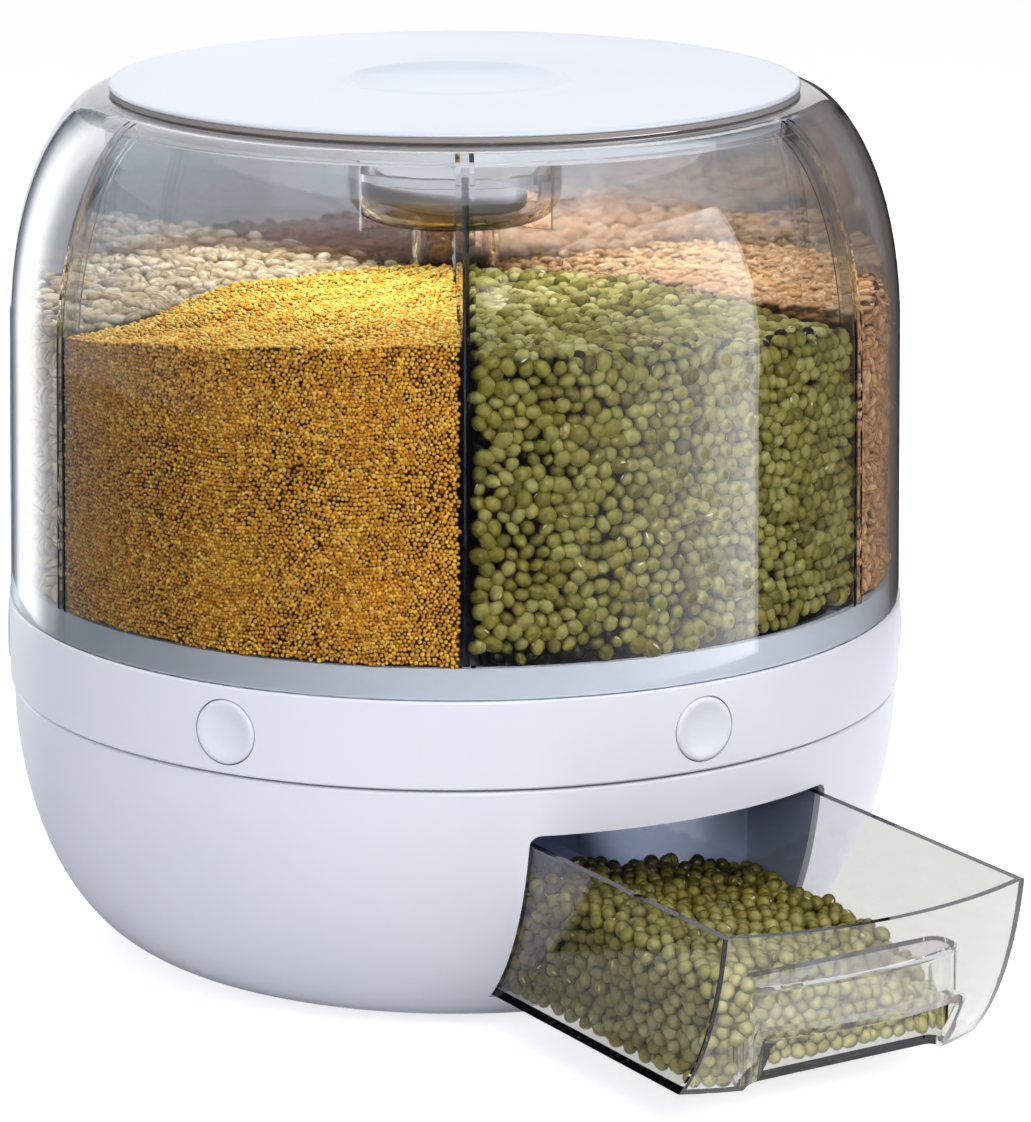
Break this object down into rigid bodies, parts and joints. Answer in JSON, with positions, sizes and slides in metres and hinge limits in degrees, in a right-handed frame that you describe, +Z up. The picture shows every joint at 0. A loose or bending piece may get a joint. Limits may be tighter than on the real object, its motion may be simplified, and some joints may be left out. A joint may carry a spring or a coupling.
{
  "type": "rotating grain dispenser",
  "caption": "Round countertop grain dispenser: a clear divided drum turns on a white bowl base, side buttons open gates over a clear pull-out drawer, and a flat lid lifts off.",
  "frame": {"origin": "centre of the foot's contact plane, on the drum's axis of rotation", "axes": "+Z up along the drum's axis, the drawer opens towards -Y, +X to the right seen from the front"},
  "size_m": [0.26, 0.3495, 0.2513],
  "materials": {
    "white_shell": "moulded satin white",
    "inner_plastic": "plain moulded",
    "button_plastic": "moulded gloss white",
    "board_plastic": "moulded milky",
    "lid_plastic": "moulded, smoky clear",
    "bowl_plastic": "moulded gloss white",
    "packet_plastic": "moulded satin",
    "clear_plastic": "clear polished",
    "clear_drawer": "clear polished",
    "soft_rubber": "soft matte",
    "steel": "plated"
  },
  "bodies": {
    "base": {"base_shell": "white_shell", "base_floor": "inner_plastic", "rubber_pads": "soft_rubber", "floor_screws": "steel", "drawer_guide": "inner_plastic", "base_deck": "inner_plastic", "deck_screws": "steel", "pivot_bolt": "steel", "pivot_washer": "steel", "pivot_nut": "steel"},
    "ball_race": {"ball_cage": "inner_plastic", "bearing_balls": "steel"},
    "drum": {"gate_guide": "inner_plastic", "guide_screws": "steel", "gate_springs": "steel", "button_ring": "white_shell", "hopper_tray": "white_shell", "barrel": "clear_plastic", "centre_column": "inner_plastic", "moisture_bowl": "bowl_plastic", "moisture_packet": "packet_plastic", "partition_1": "board_plastic", "partition_2": "board_plastic", "partition_3": "board_plastic", "partition_4": "board_plastic", "partition_5": "board_plastic", "partition_6": "board_plastic"},
    "lid": {"lid_panel": "white_shell", "lid_gasket": "soft_rubber", "lid_pan": "lid_plastic"},
    "drawer_tray": {"drawer": "clear_drawer"},
    "button_unit_1": {"button_1": "button_plastic", "gate_1": "inner_plastic"},
    "button_unit_2": {"button_2": "button_plastic", "gate_2": "inner_plastic"},
    "button_unit_3": {"button_3": "button_plastic", "gate_3": "inner_plastic"},
    "button_unit_4": {"button_4": "button_plastic", "gate_4": "inner_plastic"},
    "button_unit_5": {"button_5": "button_plastic", "gate_5": "inner_plastic"},
    "button_unit_6": {"button_6": "button_plastic", "gate_6": "inner_plastic"}
  },
  "joints": [
    {"name": "drum_spin", "type": "hinge", "parent": "base", "child": "drum", "pos_m": [0, 0, 0.0802], "axis": [0, 0, 1], "continuous": true},
    {"name": "ball_race_spin", "type": "hinge", "parent": "base", "child": "ball_race", "pos_m": [0, 0, 0.073], "axis": [0, 0, 1], "continuous": true},
    {"name": "lid_lift", "type": "slide", "parent": "drum", "child": "lid", "axis": [0, 0, 1], "range_m": [0, 0.12]},
    {"name": "drawer_slide", "type": "slide", "parent": "base", "child": "drawer_tray", "axis": [0, -1, 0], "range_m": [-0.091, 0.06]},
    {"name": "button_press_1", "type": "slide", "parent": "drum", "child": "button_unit_1", "axis": [0, 1, 0], "range_m": [0, 0.01], "stiffness_N_per_m": 150, "springref_m": -0.008, "deforming": ["gate_springs"]},
    {"name": "button_press_2", "type": "slide", "parent": "drum", "child": "button_unit_2", "axis": [-0.866, 0.5, 0], "range_m": [0, 0.01], "stiffness_N_per_m": 150, "springref_m": -0.008, "deforming": ["gate_springs"]},
    {"name": "button_press_3", "type": "slide", "parent": "drum", "child": "button_unit_3", "axis": [-0.866, -0.5, 0], "range_m": [0, 0.01], "stiffness_N_per_m": 150, "springref_m": -0.008, "deforming": ["gate_springs"]},
    {"name": "button_press_4", "type": "slide", "parent": "drum", "child": "button_unit_4", "axis": [0, -1, 0], "range_m": [0, 0.01], "stiffness_N_per_m": 150, "springref_m": -0.008, "deforming": ["gate_springs"]},
    {"name": "button_press_5", "type": "slide", "parent": "drum", "child": "button_unit_5", "axis": [0.866, -0.5, 0], "range_m": [0, 0.01], "stiffness_N_per_m": 150, "springref_m": -0.008, "deforming": ["gate_springs"]},
    {"name": "button_press_6", "type": "slide", "parent": "drum", "child": "button_unit_6", "axis": [0.866, 0.5, 0], "range_m": [0, 0.01], "stiffness_N_per_m": 150, "springref_m": -0.008, "deforming": ["gate_springs"]}
  ],
  "couplings": [
    {"joint": "ball_race_spin", "follows": "drum_spin", "ratio": 0.5}
  ]
}
